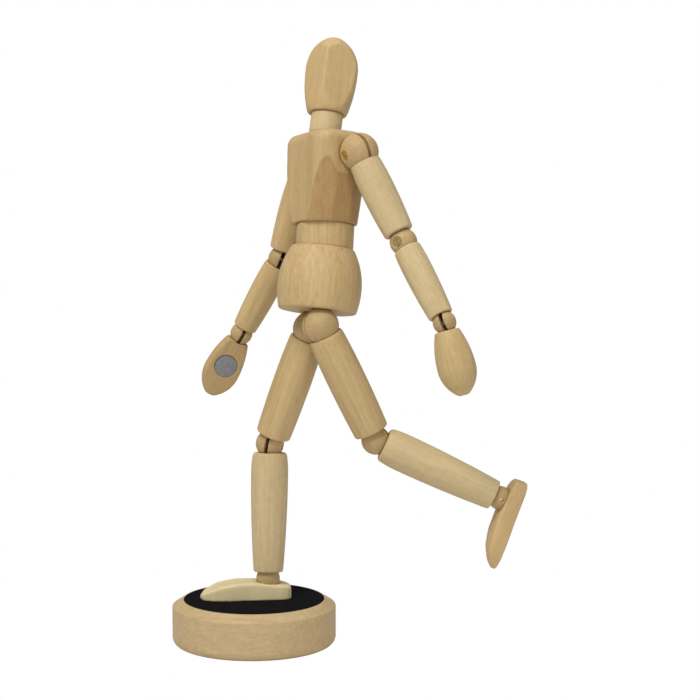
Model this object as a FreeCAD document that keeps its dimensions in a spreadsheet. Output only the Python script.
"""Wooden artist mannequin on a round base, built sub-part by sub-part in millimetres, +Z up."""
import FreeCAD, Part
import os
import math
import Sketcher

os.makedirs("parts", exist_ok=True)
doc = FreeCAD.newDocument("artist_mannequin")
Vector = FreeCAD.Vector

# ---------------------------------------------------------------- driving dimensions
SIZES = {
    "base_radius": 39.6, "base_height": 22.0, "bevel_foot": 18.8, "bevel_radius": 34.5,
    "base_fillet": 4.0, "recess_radius": 34.1, "recess_floor": 19.3,
    "plate_radius": 33.8, "plate_thick": 1.5, "felt_radius": 34.0, "felt_thick": 1.2,
    "foot_length": 44.0, "foot_width": 15.6, "foot_height": 8.6, "heel_height": 6.0, "heel_back": 11.0, "sole_drop": 9.6,
    "foot_magnet_radius": 5.0, "foot_magnet_thick": 2.5,
    "ankle_radius": 5.8, "knee_radius": 6.9, "hip_radius": 8.7,
    "shoulder_radius": 9.1, "elbow_radius": 6.45, "wrist_radius": 5.5,
    "cup_play": 0.18, "bore_radius": 2.8,
    "shin_length": 65.5, "shin_top": 4.3, "shin_belly": 14.0, "shin_end": 62.3,
    "shin_top_radius": 8.1, "shin_belly_radius": 9.0, "shin_end_radius": 7.15,
    "thigh_length": 61.5, "thigh_top": 4.5, "thigh_belly": 27.0, "thigh_end": 56.6,
    "thigh_top_radius": 8.3, "thigh_belly_radius": 9.05, "thigh_end_radius": 8.4,
    "arm_length": 48.0, "arm_top": 5.2, "arm_belly": 20.0, "arm_end": 43.2,
    "arm_top_radius": 7.3, "arm_belly_radius": 8.0, "arm_end_radius": 7.0,
    "forearm_length": 43.5, "forearm_top": 3.6, "forearm_belly": 15.0, "forearm_end": 39.9,
    "forearm_top_radius": 6.4, "forearm_belly_radius": 6.9, "forearm_end_radius": 5.8,
    "hand_length": 35.0, "hand_top": 3.9, "hand_belly": 21.5, "hand_end": 34.6,
    "hand_top_radius": 5.7, "hand_belly_radius": 9.0, "hand_end_radius": 2.2, "palm_offset": 3.6,
    "hand_magnet_radius": 5.5, "hand_magnet_thick": 2.2, "hand_magnet_drop": 17.6,
    "pelvis_height": 30.3, "pelvis_belly": 11.5, "pelvis_foot_radius": 18.4,
    "pelvis_belly_radius": 20.05, "pelvis_top_radius": 14.9, "hip_drop": 7.6, "hip_half": 9.7,
    "waist_radius": 13.65, "waist_gap": 10.9, "waist_sphere": 22.0, "waist_cup": 22.2, "waist_mouth": 14.1,
    "chest_half_width": 18.5, "chest_half_depth": 13.9, "chest_height": 44.0, "chest_corner": 8.2,
    "chest_waist_line": 23.0, "chest_foot_half": 14.6,
    "chest_foot_radius": 15.4, "chest_top_radius": 22.0, "shoulder_rise": 32.3, "shoulder_half": 23.8,
    "shoulder_back": 4.0,
    "neck_radius": 7.6, "neck_gap": 9.4, "neck_sphere": 10.0, "neck_cup": 10.2, "neck_mouth": 7.9,
    "head_height": 37.9, "head_belly": 22.0, "head_radius": 12.7, "head_foot_radius": 9.4,
    "head_top_radius": 3.0, "face_offset": 9.9, "face_angle": 38.0, "face_lean": 2.0,
    "waist_bore": 3.6, "neck_bore": 3.7, "slot_width": 1.7,
    "screw_radius": 1.0, "screw_head_radius": 2.3, "screw_head_thick": 1.3,
    "screw_sink": 0.5, "cross_width": 0.6, "cross_depth": 0.6,
    "wire_radius": 0.33, "bend_radius": 0.37, "eye_radius": 1.55, "eye_offset": 0.44, "coil_radius": 2.1, "coil_inside": 1.3,
}

# ---------------------------------------------------------------- pose, in degrees
# Each direction is (tilt from straight up, heading from +X counter-clockwise).
POSE = {
    "right_shin": (4.3, 162.6), "right_thigh": (22.0, 55.1),
    "pelvis": (13.0, 150.6), "waist": (12.3, 161.3), "chest": (12.0, 169.3),
    "neck": (15.2, 145.0), "head": (18.6, 156.0),
    "left_thigh": (154.1, 98.3), "left_shin": (115.3, 85.0), "left_foot": (69.5, -90.0),
    "left_upper_arm": (149.0, 49.8), "left_forearm": (145.6, 43.0), "left_hand": (162.7, 54.9),
    "right_upper_arm": (162.5, -121.7), "right_forearm": (149.9, -118.1), "right_hand": (151.5, -105.0),
}
# The heading that each sub-part's own left-hand side points at.
SIDE = {"pelvis": 7.0, "chest": 25.0, "head": 70.0, "right_foot": 0.0, "left_foot": 0.0,
        "left_hand": 190.0, "right_hand": 10.0}
# The direction that each ball's screw head faces.
SCREW = {
    "right_ankle": (90.0, 180.0), "right_knee": (102.7, 70.4),
    "left_hip": (90.0, 198.0), "left_ankle": (90.0, 0.0),
    "left_elbow": (82.0, -42.0), "left_wrist": (72.0, 70.0),
    "right_elbow": (112.6, 87.1), "right_wrist": (120.0, 100.8),
}
RIGHT_ANKLE = Vector(-1.3, 7.0, 31.6)

sheet = doc.addObject("Spreadsheet::Sheet", "Sizes")
for row, (alias, size) in enumerate(SIZES.items(), start=1):
    sheet.set("A%d" % row, alias)
    sheet.set("B%d" % row, str(size))
    sheet.setAlias("B%d" % row, alias)
doc.recompute()


def size(name):
    """The value of a driving dimension; a leading minus sign turns it over."""
    if name == "0":
        return 0.0
    if name.startswith("-"):
        return -SIZES[name[1:]]
    return SIZES[name]


def formula(name):
    """The expression that ties a property to a driving dimension."""
    if name == "0":
        return "0"
    if name.startswith("-"):
        return "-Sizes." + name[1:]
    return "Sizes." + name


def direction(angles):
    """Unit vector from a (tilt, heading) pair in degrees."""
    tilt = math.radians(angles[0])
    heading = math.radians(angles[1])
    return Vector(math.sin(tilt) * math.cos(heading), math.sin(tilt) * math.sin(heading), math.cos(tilt))


def frame(origin, up, side):
    """Placement whose Z is `up` and whose X is as near to `side` as it can be."""
    up = Vector(up).normalize()
    return FreeCAD.Placement(origin, FreeCAD.Rotation(side, up.cross(side), up, "ZXY"))


# ---------------------------------------------------------------- feature helpers
def new_body(label):
    body = doc.addObject("PartDesign::Body", label)
    body.Label = label
    return body


def origin_feature(body, role):
    return [feature for feature in body.Origin.OriginFeatures if feature.Role == role][0]


def new_sketch(body, role):
    sketch = body.newObject("Sketcher::SketchObject", body.Name + "_sketch")
    sketch.AttachmentSupport = [(origin_feature(body, role), "")]
    sketch.MapMode = "FlatFace"
    return sketch


def pin_point(sketch, index, end, across, up):
    """Hold one end of a sketch edge at a place given by two driving dimensions."""
    for kind, name in (("DistanceX", across), ("DistanceY", up)):
        number = sketch.addConstraint(Sketcher.Constraint(kind, index, end, size(name)))
        if name != "0":
            sketch.setExpression("Constraints[%d]" % number, formula(name))


def draw_outline(sketch, corners, bulges):
    """Close a profile through the corners; an edge named in bulges is an arc centred level with a corner."""
    count = len(corners)
    for index in range(count):
        start = Vector(size(corners[index][0]), size(corners[index][1]), 0)
        end = Vector(size(corners[(index + 1) % count][0]), size(corners[(index + 1) % count][1]), 0)
        if index in bulges:
            level = size(bulges[index])
            centre_x = (end.x ** 2 - start.x ** 2 + (end.y - level) ** 2 - (start.y - level) ** 2)
            centre_x = centre_x / (2.0 * (end.x - start.x))
            centre = Vector(centre_x, level, 0)
            circle = Part.Circle(centre, Vector(0, 0, 1), (start - centre).Length)
            first = math.atan2(start.y - level, start.x - centre_x)
            last = math.atan2(end.y - level, end.x - centre_x)
            sketch.addGeometry(Part.ArcOfCircle(circle, min(first, last), max(first, last)))
        else:
            sketch.addGeometry(Part.LineSegment(start, end))
    for index in range(count):
        turned_round = index in bulges and size(corners[index][1]) > size(corners[(index + 1) % count][1])
        start_end = 2 if turned_round else 1
        pin_point(sketch, index, start_end, corners[index][0], corners[index][1])
        following = (index + 1) % count
        next_turned = following in bulges and (
            size(corners[following][1]) > size(corners[(following + 1) % count][1]))
        sketch.addConstraint(Sketcher.Constraint(
            "Coincident", index, 3 - start_end, following, 2 if next_turned else 1))
        if index in bulges:
            number = sketch.addConstraint(Sketcher.Constraint("DistanceY", index, 3, size(bulges[index])))
            sketch.setExpression("Constraints[%d]" % number, formula(bulges[index]))


def turned(body, corners, bulges=None):
    """Turn a profile about the body's Z axis, as on a lathe."""
    sketch = new_sketch(body, "XZ_Plane")
    draw_outline(sketch, corners, bulges or {})
    revolution = body.newObject("PartDesign::Revolution", body.Name + "_turned")
    revolution.Profile = sketch
    revolution.ReferenceAxis = (sketch, ["V_Axis"])
    revolution.Angle = 360.0
    sketch.Visibility = False
    doc.recompute()
    return revolution


def primitive(body, kind, sizes, placement=None, lift=None):
    """Add or cut a simple solid; sizes maps a property to a driving dimension or a plain number."""
    feature = body.newObject("PartDesign::" + kind, body.Name + "_" + kind)
    for name, amount in sizes.items():
        if isinstance(amount, str):
            setattr(feature, name, size(amount))
            feature.setExpression(name, formula(amount))
        else:
            setattr(feature, name, amount)
    if placement is not None:
        feature.Placement = placement
    if lift is not None:
        feature.setExpression(".Placement.Base.z", lift)
    return feature


def round_edges(body, radius, chosen):
    """Round the edges of the body's tip for which chosen(edge) is true."""
    doc.recompute()
    tip = body.Tip
    names = ["Edge%d" % (n + 1) for n, edge in enumerate(tip.Shape.Edges) if chosen(edge)]
    fillet = body.newObject("PartDesign::Fillet", body.Name + "_rounding")
    fillet.Base = (tip, names)
    fillet.Radius = radius
    doc.recompute()
    return fillet


def ring_at(height, radius=None):
    """Test for a full circle lying level at a height."""
    def chosen(edge):
        circle = edge.Curve
        if not isinstance(circle, Part.Circle) or abs(circle.Axis.z) < 0.99:
            return False
        return abs(circle.Center.z - height) < 0.01 and (radius is None or abs(circle.Radius - radius) < 0.2)
    return chosen


def at(x, y, z):
    return FreeCAD.Placement(Vector(x, y, z), FreeCAD.Rotation())


def along(start, end):
    """Placement at start whose Z runs towards end."""
    return FreeCAD.Placement(start, FreeCAD.Rotation(Vector(0, 0, 1), end - start))


def rod(body, start, end, radius="wire_radius"):
    primitive(body, "AdditiveCylinder", {"Radius": radius, "Height": (end - start).Length}, along(start, end))


# ---------------------------------------------------------------- base
def build_base():
    disc = new_body("base_disc")
    turned(disc, [("0", "0"), ("base_radius", "0"), ("base_radius", "bevel_foot"),
                  ("bevel_radius", "base_height"), ("0", "base_height")])
    round_edges(disc, SIZES["base_fillet"], ring_at(0.0))
    round_edges(disc, 0.6, ring_at(SIZES["bevel_foot"]))
    primitive(disc, "SubtractiveCylinder", {"Radius": "recess_radius", "Height": 10.0},
              at(0, 0, SIZES["recess_floor"]), "Sizes.recess_floor")
    plate = new_body("base_steel_plate")
    primitive(plate, "AdditiveCylinder", {"Radius": "plate_radius", "Height": "plate_thick"})
    plate.Placement = at(0, 0, SIZES["recess_floor"])
    felt = new_body("base_felt")
    primitive(felt, "AdditiveCylinder", {"Radius": "felt_radius", "Height": "felt_thick"})
    felt.Placement = at(0, 0, SIZES["recess_floor"] + SIZES["plate_thick"])


# ---------------------------------------------------------------- limbs
def build_limb(label, kind, placement, top_ball, end_ball, rounding):
    """A turned limb hanging down from its upper ball, cupped at both ends and bored for its spring."""
    body = new_body(label)
    turned(body, [("0", "-%s_top" % kind), ("0", "-%s_end" % kind),
                  ("%s_end_radius" % kind, "-%s_end" % kind),
                  ("%s_belly_radius" % kind, "-%s_belly" % kind),
                  ("%s_top_radius" % kind, "-%s_top" % kind)],
           {2: "-%s_belly" % kind, 3: "-%s_belly" % kind})
    round_edges(body, rounding[0], ring_at(-SIZES[kind + "_top"]))
    round_edges(body, rounding[1], ring_at(-SIZES[kind + "_end"]))
    cup_top = primitive(body, "SubtractiveSphere", {"Radius": size(top_ball + "_radius") + size("cup_play")})
    cup_top.setExpression("Radius", "Sizes.%s_radius + Sizes.cup_play" % top_ball)
    cup_end = primitive(body, "SubtractiveSphere", {"Radius": size(end_ball + "_radius") + size("cup_play")},
                        at(0, 0, -SIZES[kind + "_length"]), "-Sizes.%s_length" % kind)
    cup_end.setExpression("Radius", "Sizes.%s_radius + Sizes.cup_play" % end_ball)
    primitive(body, "SubtractiveCylinder", {"Radius": "bore_radius", "Height": "%s_length" % kind},
              at(0, 0, -SIZES[kind + "_length"]), "-Sizes.%s_length" % kind)
    body.Placement = placement


def build_ball(name, kind, placement, bridge):
    """A wooden ball: X is the screw's axis, the saw cut opens towards -Y and stops at Y = bridge."""
    radius = SIZES[kind + "_radius"]
    ball = new_body(name + "_ball")
    primitive(ball, "AdditiveSphere", {"Radius": kind + "_radius"})
    slot = primitive(ball, "SubtractiveBox", {"Length": "slot_width", "Width": radius + 1.0 + bridge,
                                              "Height": 2.0 * radius + 2.0},
                     at(-SIZES["slot_width"] / 2, -radius - 1.0, -radius - 1.0))
    slot.setExpression(".Placement.Base.x", "-Sizes.slot_width / 2")
    lengthwise = FreeCAD.Rotation(Vector(0, 1, 0), 90)
    visible_head = kind in ("knee", "hip", "shoulder", "elbow")
    shank = 2.0 * math.sqrt(radius ** 2 - 2.6 ** 2) - 1.2
    head_face = shank / 2 + 0.6 - SIZES["screw_sink"]
    primitive(ball, "SubtractiveCylinder", {"Radius": SIZES["screw_radius"] + 0.05, "Height": 3.0 * radius},
              FreeCAD.Placement(Vector(-radius * 0.82, 0, 0), lengthwise))
    screw = new_body(name + "_screw")
    if visible_head:
        primitive(ball, "SubtractiveCylinder", {"Radius": SIZES["screw_head_radius"] + 0.12, "Height": 6.0},
                  FreeCAD.Placement(Vector(head_face - SIZES["screw_head_thick"], 0, 0), lengthwise))
        primitive(screw, "AdditiveCylinder", {"Radius": "screw_radius", "Height": radius * 0.8 + head_face - 0.5},
                  FreeCAD.Placement(Vector(-radius * 0.8, 0, 0), lengthwise))
        primitive(screw, "AdditiveCylinder", {"Radius": "screw_head_radius", "Height": "screw_head_thick"},
                  FreeCAD.Placement(Vector(head_face - SIZES["screw_head_thick"], 0, 0), lengthwise))
        for wide, deep in ((3.0, SIZES["cross_width"]), (SIZES["cross_width"], 3.0)):
            primitive(screw, "SubtractiveBox", {"Length": 2.0, "Width": wide, "Height": deep},
                      at(head_face - SIZES["cross_depth"], -wide / 2, -deep / 2))
    else:
        primitive(screw, "AdditiveCylinder", {"Radius": "screw_radius", "Height": radius * 1.4},
                  FreeCAD.Placement(Vector(-radius * 0.8, 0, 0), lengthwise))
    ball.Placement = placement
    screw.Placement = placement


def add_eye(body, centre, axis, offset):
    """A wire eye round a screw whose axis is given, moved along that axis by offset."""
    middle = centre + axis * offset
    primitive(body, "AdditiveTorus", {"Radius1": "eye_radius", "Radius2": "wire_radius"},
              along(middle, middle + axis))
    return middle


def add_leg(body, centre, axis, offset, toward, radius, goal):
    """Wire from a goal into a ball's saw cut, square to the screw, ending in an eye round it."""
    eye = centre + axis * offset
    way = (toward - axis * toward.dot(axis)).normalize()
    outside = eye + way * (radius + 0.9)
    rod(body, outside, goal)
    primitive(body, "AdditiveSphere", {"Radius": "bend_radius"}, at(outside.x, outside.y, outside.z))
    rod(body, eye + way * SIZES["eye_radius"], outside)
    add_eye(body, centre, axis, offset)


def build_limb_spring(label, placement, length, top_radius, end_radius, top_axis, end_axis):
    """A closed-wound spring drawn as a tube, with a leg and an eye at each end."""
    top = top_radius + 3.0
    end = length - end_radius - 3.0
    body = new_body(label)
    primitive(body, "AdditiveCylinder", {"Radius": "coil_radius", "Height": end - top}, at(0, 0, -end))
    primitive(body, "SubtractiveCylinder", {"Radius": "coil_inside", "Height": end - top - 1.2},
              at(0, 0, -end + 0.6))
    inward = placement.Rotation.inverted()
    for centre, pin, turn, radius, level in ((0.0, top_axis, 1.0, top_radius, top),
                                             (length, end_axis, -1.0, end_radius, end)):
        add_leg(body, Vector(0, 0, -centre), inward.multVec(pin), turn * SIZES["eye_offset"],
                Vector(0, 0, -turn), radius, Vector(0, 0, -level - turn * 0.4))
    body.Placement = placement


# ---------------------------------------------------------------- trunk and head
def sphere_centre(radius, mouth):
    """How far the centre of a shallow cup lies outside the face that it is cut in."""
    return math.sqrt(radius ** 2 - mouth ** 2)


def lens_half(kind):
    """Half the height of the waist or neck, from its middle to the tip of a dome."""
    depth = size(kind + "_cup") - sphere_centre(size(kind + "_cup"), size(kind + "_mouth"))
    return size(kind + "_gap") / 2 + depth - (size(kind + "_cup") - size(kind + "_sphere"))


def build_lens(kind, placement):
    """Waist or neck: the part common to a short bar and the two balls that its ends are cut from."""
    half = lens_half(kind)
    bar = doc.addObject("Part::Cylinder", kind + "_bar")
    bar.setExpression("Radius", "Sizes.%s_radius" % kind)
    bar.Height = 2.0 * half
    bar.Placement = at(0, 0, -half)
    domes = []
    for turn in (1.0, -1.0):
        dome = doc.addObject("Part::Sphere", kind + "_dome")
        dome.setExpression("Radius", "Sizes.%s_sphere" % kind)
        dome.Placement = at(0, 0, turn * (size(kind + "_sphere") - half))
        domes.append(dome)
    core = doc.addObject("Part::MultiCommon", kind + "_core")
    core.Shapes = [bar] + domes
    doc.recompute()
    soft = doc.addObject("Part::Fillet", kind + "_soft")
    soft.Base = core
    soft.Edges = [(number + 1, 0.5, 0.5) for number, edge in enumerate(core.Shape.Edges)
                  if edge.BoundBox.ZLength < 0.01 and edge.Length > 5.0]
    bore = doc.addObject("Part::Cylinder", kind + "_bore")
    bore.setExpression("Radius", "Sizes.%s_bore" % kind)
    bore.Height = 2.0 * half + 2.0
    bore.Placement = at(0, 0, -half - 1.0)
    lens = doc.addObject("Part::Cut", kind)
    lens.Base = soft
    lens.Tool = bore
    lens.Label = kind
    lens.Placement = placement


def cut_cup(body, kind, height):
    """Sink the shallow cup for the waist or neck; height is its centre's, in the body's own frame."""
    cup = primitive(body, "SubtractiveSphere", {"Radius": kind + "_cup"}, at(0, 0, height))
    return cup


def build_pelvis(placement):
    body = new_body("pelvis")
    turned(body, [("0", "0"), ("pelvis_foot_radius", "0"), ("pelvis_belly_radius", "pelvis_belly"),
                  ("pelvis_top_radius", "pelvis_height"), ("0", "pelvis_height")],
           {1: "pelvis_belly", 2: "pelvis_belly"})
    round_edges(body, 0.6, ring_at(0.0))
    round_edges(body, 0.5, ring_at(SIZES["pelvis_height"]))
    cut_cup(body, "waist", SIZES["pelvis_height"] + sphere_centre(SIZES["waist_cup"], SIZES["waist_mouth"]))
    half = SIZES["hip_half"]
    for turn in (-1.0, 1.0):
        cup = primitive(body, "SubtractiveSphere", {"Radius": SIZES["hip_radius"] + SIZES["cup_play"]},
                        at(turn * half, 0, -SIZES["hip_drop"]), "-Sizes.hip_drop")
        cup.setExpression("Radius", "Sizes.hip_radius + Sizes.cup_play")
    primitive(body, "SubtractiveBox", {"Length": 2.0 * half + 5.6, "Width": 5.6, "Height": 14.0},
              at(-half - 2.8, -2.8, -1.0))
    primitive(body, "SubtractiveCylinder", {"Radius": "bore_radius", "Height": "pelvis_height"})
    body.Placement = placement


def build_chest(placement):
    body = new_body("chest")
    wide = SIZES["chest_half_width"]
    deep = SIZES["chest_half_depth"]
    tall = SIZES["chest_height"]
    block = primitive(body, "AdditiveBox", {"Length": 2.0 * wide, "Width": 2.0 * deep,
                                            "Height": "chest_height"}, at(-wide, -deep, 0))
    block.setExpression("Length", "2 * Sizes.chest_half_width")
    block.setExpression("Width", "2 * Sizes.chest_half_depth")
    round_edges(body, SIZES["chest_corner"], lambda edge: edge.BoundBox.ZLength > tall - 1.0)
    round_edges(body, 5.5, lambda edge: edge.BoundBox.ZLength < 0.01 and edge.BoundBox.ZMin > tall - 1.0)
    slope = math.degrees(math.atan2(wide - SIZES["chest_foot_half"], SIZES["chest_waist_line"]))
    for turn in (-1.0, 1.0):
        tilt = FreeCAD.Rotation(Vector(0, 1, 0), turn * slope)
        corner = Vector(turn * wide, -deep - 1.0, SIZES["chest_waist_line"])
        shift = tilt.multVec(Vector(0.0 if turn > 0 else -10.0, 0, -40.0))
        primitive(body, "SubtractiveBox", {"Length": 10.0, "Width": 2.0 * deep + 2.0, "Height": 40.0},
                  FreeCAD.Placement(corner + shift, tilt))
    waste = new_sketch(body, "XZ_Plane")
    draw_outline(waste, [("chest_foot_radius", "0"), ("base_radius", "0"), ("base_radius", "chest_height"),
                         ("chest_top_radius", "chest_height")], {})
    groove = body.newObject("PartDesign::Groove", "chest_turned_foot")
    groove.Profile = waste
    groove.ReferenceAxis = (waste, ["V_Axis"])
    groove.Angle = 360.0
    waste.Visibility = False
    round_edges(body, 0.6, lambda edge: edge.BoundBox.ZLength < 0.01 and edge.BoundBox.ZMax < 0.01)
    cut_cup(body, "waist", -sphere_centre(SIZES["waist_cup"], SIZES["waist_mouth"]))
    cut_cup(body, "neck", tall + sphere_centre(SIZES["neck_cup"], SIZES["neck_mouth"]))
    for turn in (-1.0, 1.0):
        place = at(turn * SIZES["shoulder_half"], SIZES["shoulder_back"], SIZES["shoulder_rise"])
        cup = primitive(body, "SubtractiveSphere", {"Radius": SIZES["shoulder_radius"] + SIZES["cup_play"]}, place)
        cup.setExpression("Radius", "Sizes.shoulder_radius + Sizes.cup_play")
    crosswise = FreeCAD.Rotation(Vector(0, 1, 0), 90)
    primitive(body, "SubtractiveCylinder", {"Radius": "bore_radius", "Height": 2.0 * wide},
              FreeCAD.Placement(Vector(-wide, SIZES["shoulder_back"], SIZES["shoulder_rise"]), crosswise))
    primitive(body, "SubtractiveCylinder", {"Radius": 6.4, "Height": tall}, at(0, 0, 0))
    body.Placement = placement


def build_head(placement):
    body = new_body("head")
    turned(body, [("0", "0"), ("head_foot_radius", "0"), ("head_radius", "head_belly"),
                  ("head_top_radius", "head_height"), ("0", "head_height")],
           {1: "head_belly", 2: "head_belly"})
    round_edges(body, 2.6, ring_at(SIZES["head_height"]))
    round_edges(body, 0.5, ring_at(0.0))
    for turn in (-1.0, 1.0):
        lean = FreeCAD.Rotation(Vector(1, 0, 0), -SIZES["face_lean"])
        spin = FreeCAD.Rotation(Vector(0, 0, 1), turn * SIZES["face_angle"])
        corner = spin.multVec(Vector(0, -SIZES["face_offset"], 0) + lean.multVec(Vector(-20.0, -10.0, -2.0)))
        primitive(body, "SubtractiveBox", {"Length": 40.0, "Width": 10.0, "Height": 45.0},
                  FreeCAD.Placement(corner, spin.multiply(lean)))
    cut_cup(body, "neck", -sphere_centre(SIZES["neck_cup"], SIZES["neck_mouth"]))
    primitive(body, "SubtractiveCylinder", {"Radius": "neck_bore", "Height": 22.0})
    body.Placement = placement


# ---------------------------------------------------------------- hands and feet
def build_hand(label, placement, pin_axis):
    """An egg sliced by a flat palm that faces +X."""
    body = new_body(label)
    turned(body, [("0", "-hand_top"), ("0", "-hand_end"), ("hand_end_radius", "-hand_end"),
                  ("hand_belly_radius", "-hand_belly"), ("hand_top_radius", "-hand_top")],
           {2: "-hand_belly", 3: "-hand_belly"})
    round_edges(body, 1.9, ring_at(-SIZES["hand_end"]))
    round_edges(body, 0.7, ring_at(-SIZES["hand_top"]))
    palm = primitive(body, "SubtractiveBox", {"Length": 10.0, "Width": 20.0, "Height": 40.0},
                     at(SIZES["palm_offset"], -10.0, -38.0))
    palm.setExpression(".Placement.Base.x", "Sizes.palm_offset")
    cup = primitive(body, "SubtractiveSphere", {"Radius": SIZES["wrist_radius"] + SIZES["cup_play"]})
    cup.setExpression("Radius", "Sizes.wrist_radius + Sizes.cup_play")
    facing = FreeCAD.Rotation(Vector(0, 1, 0), 90)
    seat = Vector(SIZES["palm_offset"] - SIZES["hand_magnet_thick"], 0, -SIZES["hand_magnet_drop"])
    primitive(body, "SubtractiveCylinder", {"Radius": SIZES["hand_magnet_radius"] + 0.1, "Height": 8.0},
              FreeCAD.Placement(seat, facing))
    primitive(body, "SubtractiveCylinder", {"Radius": 1.2, "Height": 18.0}, at(0, 0, -18.0))
    primitive(body, "SubtractiveCylinder", {"Radius": 1.9, "Height": 10.5}, at(0, 0, -10.5))
    body.Placement = placement
    hook = new_body(label + "_magnet_and_hook")
    primitive(hook, "AdditiveCylinder", {"Radius": "hand_magnet_radius", "Height": "hand_magnet_thick"},
              FreeCAD.Placement(seat, facing))
    rod(hook, seat + Vector(0.3, 0, 4.0), Vector(0, 0, -13.0))
    add_leg(hook, Vector(0, 0, 0), direction_in(placement, pin_axis), SIZES["eye_offset"],
            Vector(0, 0, -1), SIZES["wrist_radius"], Vector(0, 0, -13.2))
    hook.Placement = placement


def direction_in(placement, world):
    """A direction of the whole figure, seen in a sub-part's own frame."""
    return placement.Rotation.inverted().multVec(world)


def build_foot(label, placement, pin_axis):
    """A shoe-shaped block: toe towards -Y, flat sole, shallow cup above for the ankle ball."""
    body = new_body(label)
    toe = -SIZES["foot_length"] + SIZES["heel_back"]
    heel = SIZES["heel_back"]
    sole = -SIZES["sole_drop"]
    top = sole + SIZES["foot_height"]
    half = SIZES["foot_width"] / 2
    side_view = new_sketch(body, "YZ_Plane")
    points = [Vector(heel, sole, 0), Vector(heel, sole + SIZES["heel_height"], 0),
              Vector(heel - 5.0, top - 1.4, 0), Vector(toe + 26.0, top, 0), Vector(toe + 17.0, top - 0.2, 0), Vector(toe + 9.0, top - 1.6, 0),
              Vector(toe + 3.0, sole + 4.4, 0), Vector(toe, sole + 2.0, 0), Vector(toe, sole, 0)]
    add_loop(side_view, points)
    tie(side_view, 0, 1, "heel_back", "-sole_drop")
    pad = body.newObject("PartDesign::Pad", label + "_side")
    pad.Profile = side_view
    pad.Length = SIZES["foot_width"]
    pad.setExpression("Length", "Sizes.foot_width")
    pad.Midplane = True
    side_view.Visibility = False
    doc.recompute()
    plan = new_sketch(body, "XY_Plane")
    outer = [Vector(-half - 6, heel + 6, 0), Vector(half + 6, heel + 6, 0),
             Vector(half + 6, toe - 6, 0), Vector(-half - 6, toe - 6, 0)]
    inner = [Vector(-half + 4.4, heel, 0), Vector(half - 4.4, heel, 0), Vector(half - 1.8, heel - 1.8, 0),
             Vector(half - 0.6, heel - 5, 0),
             Vector(half - 0.9, toe + 24, 0), Vector(half, toe + 14, 0), Vector(half - 0.8, toe + 6, 0),
             Vector(half - 3.6, toe + 1.2, 0), Vector(half - 7.0, toe, 0),
             Vector(-half + 6.4, toe, 0), Vector(-half + 3.0, toe + 1.6, 0), Vector(-half + 0.6, toe + 7, 0),
             Vector(-half, toe + 14, 0), Vector(-half + 0.9, toe + 24, 0), Vector(-half + 0.6, heel - 5, 0),
             Vector(-half + 1.8, heel - 1.8, 0)]
    add_loop(plan, outer)
    add_loop(plan, inner)
    trim = body.newObject("PartDesign::Pocket", label + "_plan")
    trim.Profile = plan
    trim.Type = "ThroughAll"
    trim.Midplane = True
    plan.Visibility = False
    round_edges(body, 1.3, lambda edge: edge.BoundBox.ZMin > sole + 1.9)
    cup = primitive(body, "SubtractiveSphere", {"Radius": SIZES["ankle_radius"] + SIZES["cup_play"]})
    cup.setExpression("Radius", "Sizes.ankle_radius + Sizes.cup_play")
    primitive(body, "SubtractiveCylinder", {"Radius": SIZES["foot_magnet_radius"] + 0.1,
                                            "Height": "foot_magnet_thick"}, at(0, 0, sole))
    primitive(body, "SubtractiveCylinder", {"Radius": 1.2, "Height": "sole_drop"}, at(0, 0, sole))
    body.Placement = placement
    hook = new_body(label + "_magnet_and_hook")
    primitive(hook, "AdditiveCylinder", {"Radius": "foot_magnet_radius",
                                         "Height": SIZES["foot_magnet_thick"] - 0.1}, at(0, 0, sole + 0.1))
    eye = add_eye(hook, Vector(0, 0, 0), direction_in(placement, pin_axis), SIZES["eye_offset"])
    rod(hook, Vector(0, 0, sole + SIZES["foot_magnet_thick"] - 0.2), eye - Vector(0, 0, SIZES["eye_radius"]))
    hook.Placement = placement


def add_loop(sketch, points):
    """Closed chain of straight lines whose corners are held where they are drawn."""
    first = sketch.GeometryCount
    count = len(points)
    for index in range(count):
        sketch.addGeometry(Part.LineSegment(points[index], points[(index + 1) % count]))
    for index in range(count):
        sketch.addConstraint(Sketcher.Constraint("Coincident", first + index, 2, first + (index + 1) % count, 1))


def tie(sketch, index, end, across, up):
    """Hold one corner of a loop at a place given by two driving dimensions."""
    pin_point(sketch, index, end, across, up)


# ---------------------------------------------------------------- springs inside the trunk
def build_shoulder_spring(chest, left_axis, right_axis):
    """Two coils joined by a straight wire across the chest, hooked on both shoulder screws."""
    body = new_body("shoulder_spring")
    height = SIZES["shoulder_rise"]
    back = SIZES["shoulder_back"]
    half = SIZES["shoulder_half"]
    rod(body, Vector(-3.6, back, height), Vector(3.6, back, height))
    for turn, axis in ((1.0, left_axis), (-1.0, right_axis)):
        inner = Vector(turn * 3.0, back, height)
        outer = Vector(turn * 12.0, back, height)
        primitive(body, "AdditiveCylinder", {"Radius": "coil_radius", "Height": 9.0}, along(inner, outer))
        add_leg(body, Vector(turn * half, back, height), direction_in(chest, axis), -SIZES["eye_offset"],
                Vector(-turn, 0, 0), SIZES["shoulder_radius"], Vector(turn * 11.4, back, height))
    body.Placement = chest


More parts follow.
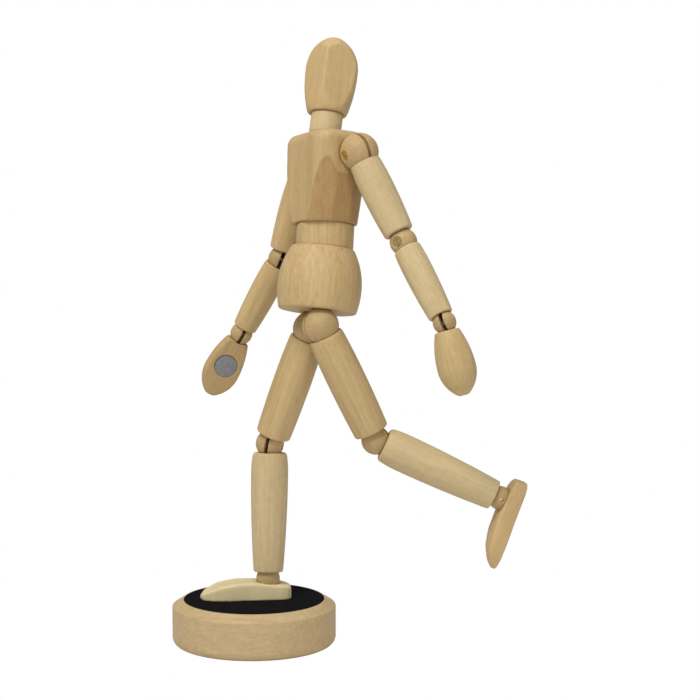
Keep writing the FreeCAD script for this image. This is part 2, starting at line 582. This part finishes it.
def build_hip_spring(pelvis, left_axis, right_axis):
    """A coil lying across the pelvis with a leg down to each hip screw."""
    body = new_body("hip_spring")
    level = 9.0
    rod(body, Vector(-2.4, 0, level), Vector(2.4, 0, level))
    for turn, axis in ((1.0, left_axis), (-1.0, right_axis)):
        inner = Vector(turn * 2.0, 0, level)
        outer = Vector(turn * 7.0, 0, level)
        primitive(body, "AdditiveCylinder", {"Radius": "coil_radius", "Height": 5.0}, along(inner, outer))
        elbow = Vector(turn * SIZES["hip_half"], 0, level)
        rod(body, inner, elbow)
        primitive(body, "AdditiveSphere", {"Radius": "bend_radius"}, at(elbow.x, 0, level))
        add_leg(body, Vector(elbow.x, 0, -SIZES["hip_drop"]), direction_in(pelvis, axis), -SIZES["eye_offset"],
                Vector(0, 0, 1), SIZES["hip_radius"], elbow)
    body.Placement = pelvis


def build_upright_spring(label, start, low, high, end):
    """A coil from low to high with a straight wire to each hook; all are points of the whole figure."""
    body = new_body(label)
    rod(body, low, high, "coil_radius")
    rod(body, start, low)
    if (end - high).Length > 0.1:
        rod(body, high, end)


# ---------------------------------------------------------------- where everything stands
def side_of(name):
    return direction((90.0, SIDE[name]))


UP = {name: direction(angles) for name, angles in POSE.items()}
right_knee = RIGHT_ANKLE + UP["right_shin"] * SIZES["shin_length"]
right_hip = right_knee + UP["right_thigh"] * SIZES["thigh_length"]

pelvis_turn = frame(Vector(0, 0, 0), UP["pelvis"], side_of("pelvis")).Rotation
pelvis_origin = right_hip - pelvis_turn.multVec(Vector(-SIZES["hip_half"], 0, -SIZES["hip_drop"]))
PELVIS = FreeCAD.Placement(pelvis_origin, pelvis_turn)
left_hip = PELVIS.multVec(Vector(SIZES["hip_half"], 0, -SIZES["hip_drop"]))
left_knee = left_hip + UP["left_thigh"] * SIZES["thigh_length"]
left_ankle = left_knee + UP["left_shin"] * SIZES["shin_length"]

waist_rise = sphere_centre(SIZES["waist_cup"], SIZES["waist_mouth"])
neck_rise = sphere_centre(SIZES["neck_cup"], SIZES["neck_mouth"])
waist_pivot = PELVIS.multVec(Vector(0, 0, SIZES["pelvis_height"] + waist_rise))
waist_middle = waist_pivot + UP["waist"] * (lens_half("waist") - SIZES["waist_sphere"])
trunk_pivot = waist_pivot + UP["waist"] * (2.0 * (lens_half("waist") - SIZES["waist_sphere"]))
CHEST = frame(trunk_pivot + UP["chest"] * waist_rise, UP["chest"], side_of("chest"))
neck_pivot = CHEST.multVec(Vector(0, 0, SIZES["chest_height"] + neck_rise))
neck_middle = neck_pivot + UP["neck"] * (lens_half("neck") - SIZES["neck_sphere"])
head_pivot = neck_pivot + UP["neck"] * (2.0 * (lens_half("neck") - SIZES["neck_sphere"]))
HEAD = frame(head_pivot + UP["head"] * neck_rise, UP["head"], side_of("head"))

JOINTS = {"right_ankle": RIGHT_ANKLE, "right_knee": right_knee, "right_hip": right_hip,
          "left_hip": left_hip, "left_knee": left_knee, "left_ankle": left_ankle}
for hand_side, turn in (("left", 1.0), ("right", -1.0)):
    shoulder = CHEST.multVec(Vector(turn * SIZES["shoulder_half"], SIZES["shoulder_back"],
                                    SIZES["shoulder_rise"]))
    elbow = shoulder + UP[hand_side + "_upper_arm"] * SIZES["arm_length"]
    wrist = elbow + UP[hand_side + "_forearm"] * SIZES["forearm_length"]
    JOINTS[hand_side + "_shoulder"] = shoulder
    JOINTS[hand_side + "_elbow"] = elbow
    JOINTS[hand_side + "_wrist"] = wrist

# The two directions in which the pieces leave each ball.
LEAVING = {
    "right_ankle": (Vector(0, 0, -1), UP["right_shin"]),
    "right_knee": (-UP["right_shin"], UP["right_thigh"]),
    "right_hip": (-UP["right_thigh"], UP["pelvis"]),
    "left_hip": (UP["left_thigh"], UP["pelvis"]),
    "left_knee": (UP["left_shin"], -UP["left_thigh"]),
    "left_ankle": (-UP["left_foot"], -UP["left_shin"]),
}
for hand_side, turn in (("left", 1.0), ("right", -1.0)):
    across = CHEST.Rotation.multVec(Vector(-turn, 0, 0))
    LEAVING[hand_side + "_shoulder"] = (UP[hand_side + "_upper_arm"], across)
    LEAVING[hand_side + "_elbow"] = (UP[hand_side + "_forearm"], -UP[hand_side + "_upper_arm"])
    LEAVING[hand_side + "_wrist"] = (UP[hand_side + "_hand"], -UP[hand_side + "_forearm"])


def ball_turn(name):
    """Rotation of a ball: X along its screw, +Y towards the bridge that its saw cut leaves."""
    down, up = LEAVING[name]
    square = down.cross(up)
    if name in SCREW:
        axis = direction(SCREW[name])
        mean = (up - down).normalize()
        axis = (axis - mean * axis.dot(mean)).normalize()
    else:
        axis = Vector(square).normalize() * (-1.0 if name == "left_knee" else 1.0)
    if name.endswith("shoulder"):
        if axis.dot(CHEST.Rotation.multVec(Vector(0, -1, 0))) < 0:
            axis = -axis
        bridge = (up + down).normalize()
    elif name in ("right_hip", "left_hip"):
        bridge = (up - down).normalize().cross(axis) * -1.0
    elif name == "left_knee":
        bridge = -(up + down).normalize()
    else:
        bridge = (up - down).normalize().cross(axis)
    return FreeCAD.Rotation(axis, bridge, axis.cross(bridge), "XYZ")


BALLS = {name: FreeCAD.Placement(place, ball_turn(name)) for name, place in JOINTS.items()}
PINS = {name: placement.Rotation.multVec(Vector(1, 0, 0)) for name, placement in BALLS.items()}


def hang(top, angles_name, turn, side):
    """Placement of a limb whose own Z points up to the ball it hangs from."""
    return frame(JOINTS[top], UP[angles_name] * turn, side)


LIMBS = [
    ("right_shin", "shin", "right_knee", 1.0, "knee", "ankle", "right_ankle", (1.6, 0.6)),
    ("right_thigh", "thigh", "right_hip", 1.0, "hip", "knee", "right_knee", (2.2, 0.7)),
    ("left_shin", "shin", "left_knee", -1.0, "knee", "ankle", "left_ankle", (1.6, 0.6)),
    ("left_thigh", "thigh", "left_hip", -1.0, "hip", "knee", "left_knee", (2.2, 0.7)),
    ("left_upper_arm", "arm", "left_shoulder", -1.0, "shoulder", "elbow", "left_elbow", (1.3, 0.6)),
    ("right_upper_arm", "arm", "right_shoulder", -1.0, "shoulder", "elbow", "right_elbow", (1.3, 0.6)),
    ("left_forearm", "forearm", "left_elbow", -1.0, "elbow", "wrist", "left_wrist", (0.7, 0.5)),
    ("right_forearm", "forearm", "right_elbow", -1.0, "elbow", "wrist", "right_wrist", (0.7, 0.5)),
]
BRIDGE = {"ankle": 2.2, "knee": 2.6, "hip": 3.4, "shoulder": 5.8, "elbow": 2.4, "wrist": 2.2}

build_base()
for name, kind, top, turn, top_ball, end_ball, low, rounding in LIMBS:
    limb_place = hang(top, name, turn, side_of("pelvis"))
    build_limb(name, kind, limb_place, top_ball, end_ball, rounding)
    build_limb_spring(name + "_spring", limb_place, SIZES[kind + "_length"], SIZES[top_ball + "_radius"],
                      SIZES[end_ball + "_radius"], PINS[top], PINS[low])
for name, placement in BALLS.items():
    kind = name.split("_")[1]
    build_ball(name, kind, placement, BRIDGE[kind])
build_pelvis(PELVIS)
build_lens("waist", frame(waist_middle, UP["waist"], side_of("chest")))
build_chest(CHEST)
build_lens("neck", frame(neck_middle, UP["neck"], side_of("head")))
build_head(HEAD)
for hand_side in ("left", "right"):
    label = hand_side + "_hand"
    build_hand(label, hang(hand_side + "_wrist", label, -1.0, side_of(label)), PINS[hand_side + "_wrist"])
build_foot("right_foot", FreeCAD.Placement(RIGHT_ANKLE, FreeCAD.Rotation()), PINS["right_ankle"])
build_foot("left_foot", frame(left_ankle, UP["left_foot"], side_of("left_foot")), PINS["left_ankle"])

chest_hook = CHEST.multVec(Vector(0, SIZES["shoulder_back"], SIZES["shoulder_rise"]))
build_shoulder_spring(CHEST, PINS["left_shoulder"], PINS["right_shoulder"])
build_hip_spring(PELVIS, PINS["left_hip"], PINS["right_hip"])
build_upright_spring("spine_spring", PELVIS.multVec(Vector(0, 0, 12.6)), PELVIS.multVec(Vector(0, 0, 17.0)),
                     CHEST.multVec(Vector(0, 0, 14.0)), chest_hook - UP["chest"] * 1.2)
neck_top = HEAD.multVec(Vector(0, 0, 16.0))
build_upright_spring("neck_spring", chest_hook + UP["chest"] * 1.2, CHEST.multVec(Vector(0, 0, 38.0)),
                     neck_top, neck_top)

# ---------------------------------------------------------------- check and write
doc.recompute()
NODES = ["base_disc", "base_steel_plate", "base_felt", "pelvis", "waist", "chest", "neck", "head",
         "hip_spring", "spine_spring", "shoulder_spring", "neck_spring"]
for name, *unused in LIMBS:
    NODES += [name, name + "_spring"]
for name in BALLS:
    NODES += [name + "_ball", name + "_screw"]
for name in ("left_hand", "right_hand", "left_foot", "right_foot"):
    NODES += [name, name + "_magnet_and_hook"]
for item in doc.Objects:
    if "Invalid" in item.State or "Error" in item.State:
        raise RuntimeError("%s did not build: %s" % (item.Label, item.State))
for label in NODES:
    node = doc.getObjectsByLabel(label)[0]
    if node.Shape.isNull() or not node.Shape.isValid():
        raise RuntimeError(label + " has no sound shape")
    node.Shape.exportStep("parts/%s.step" % label)
print(len(NODES), "sub-parts written")
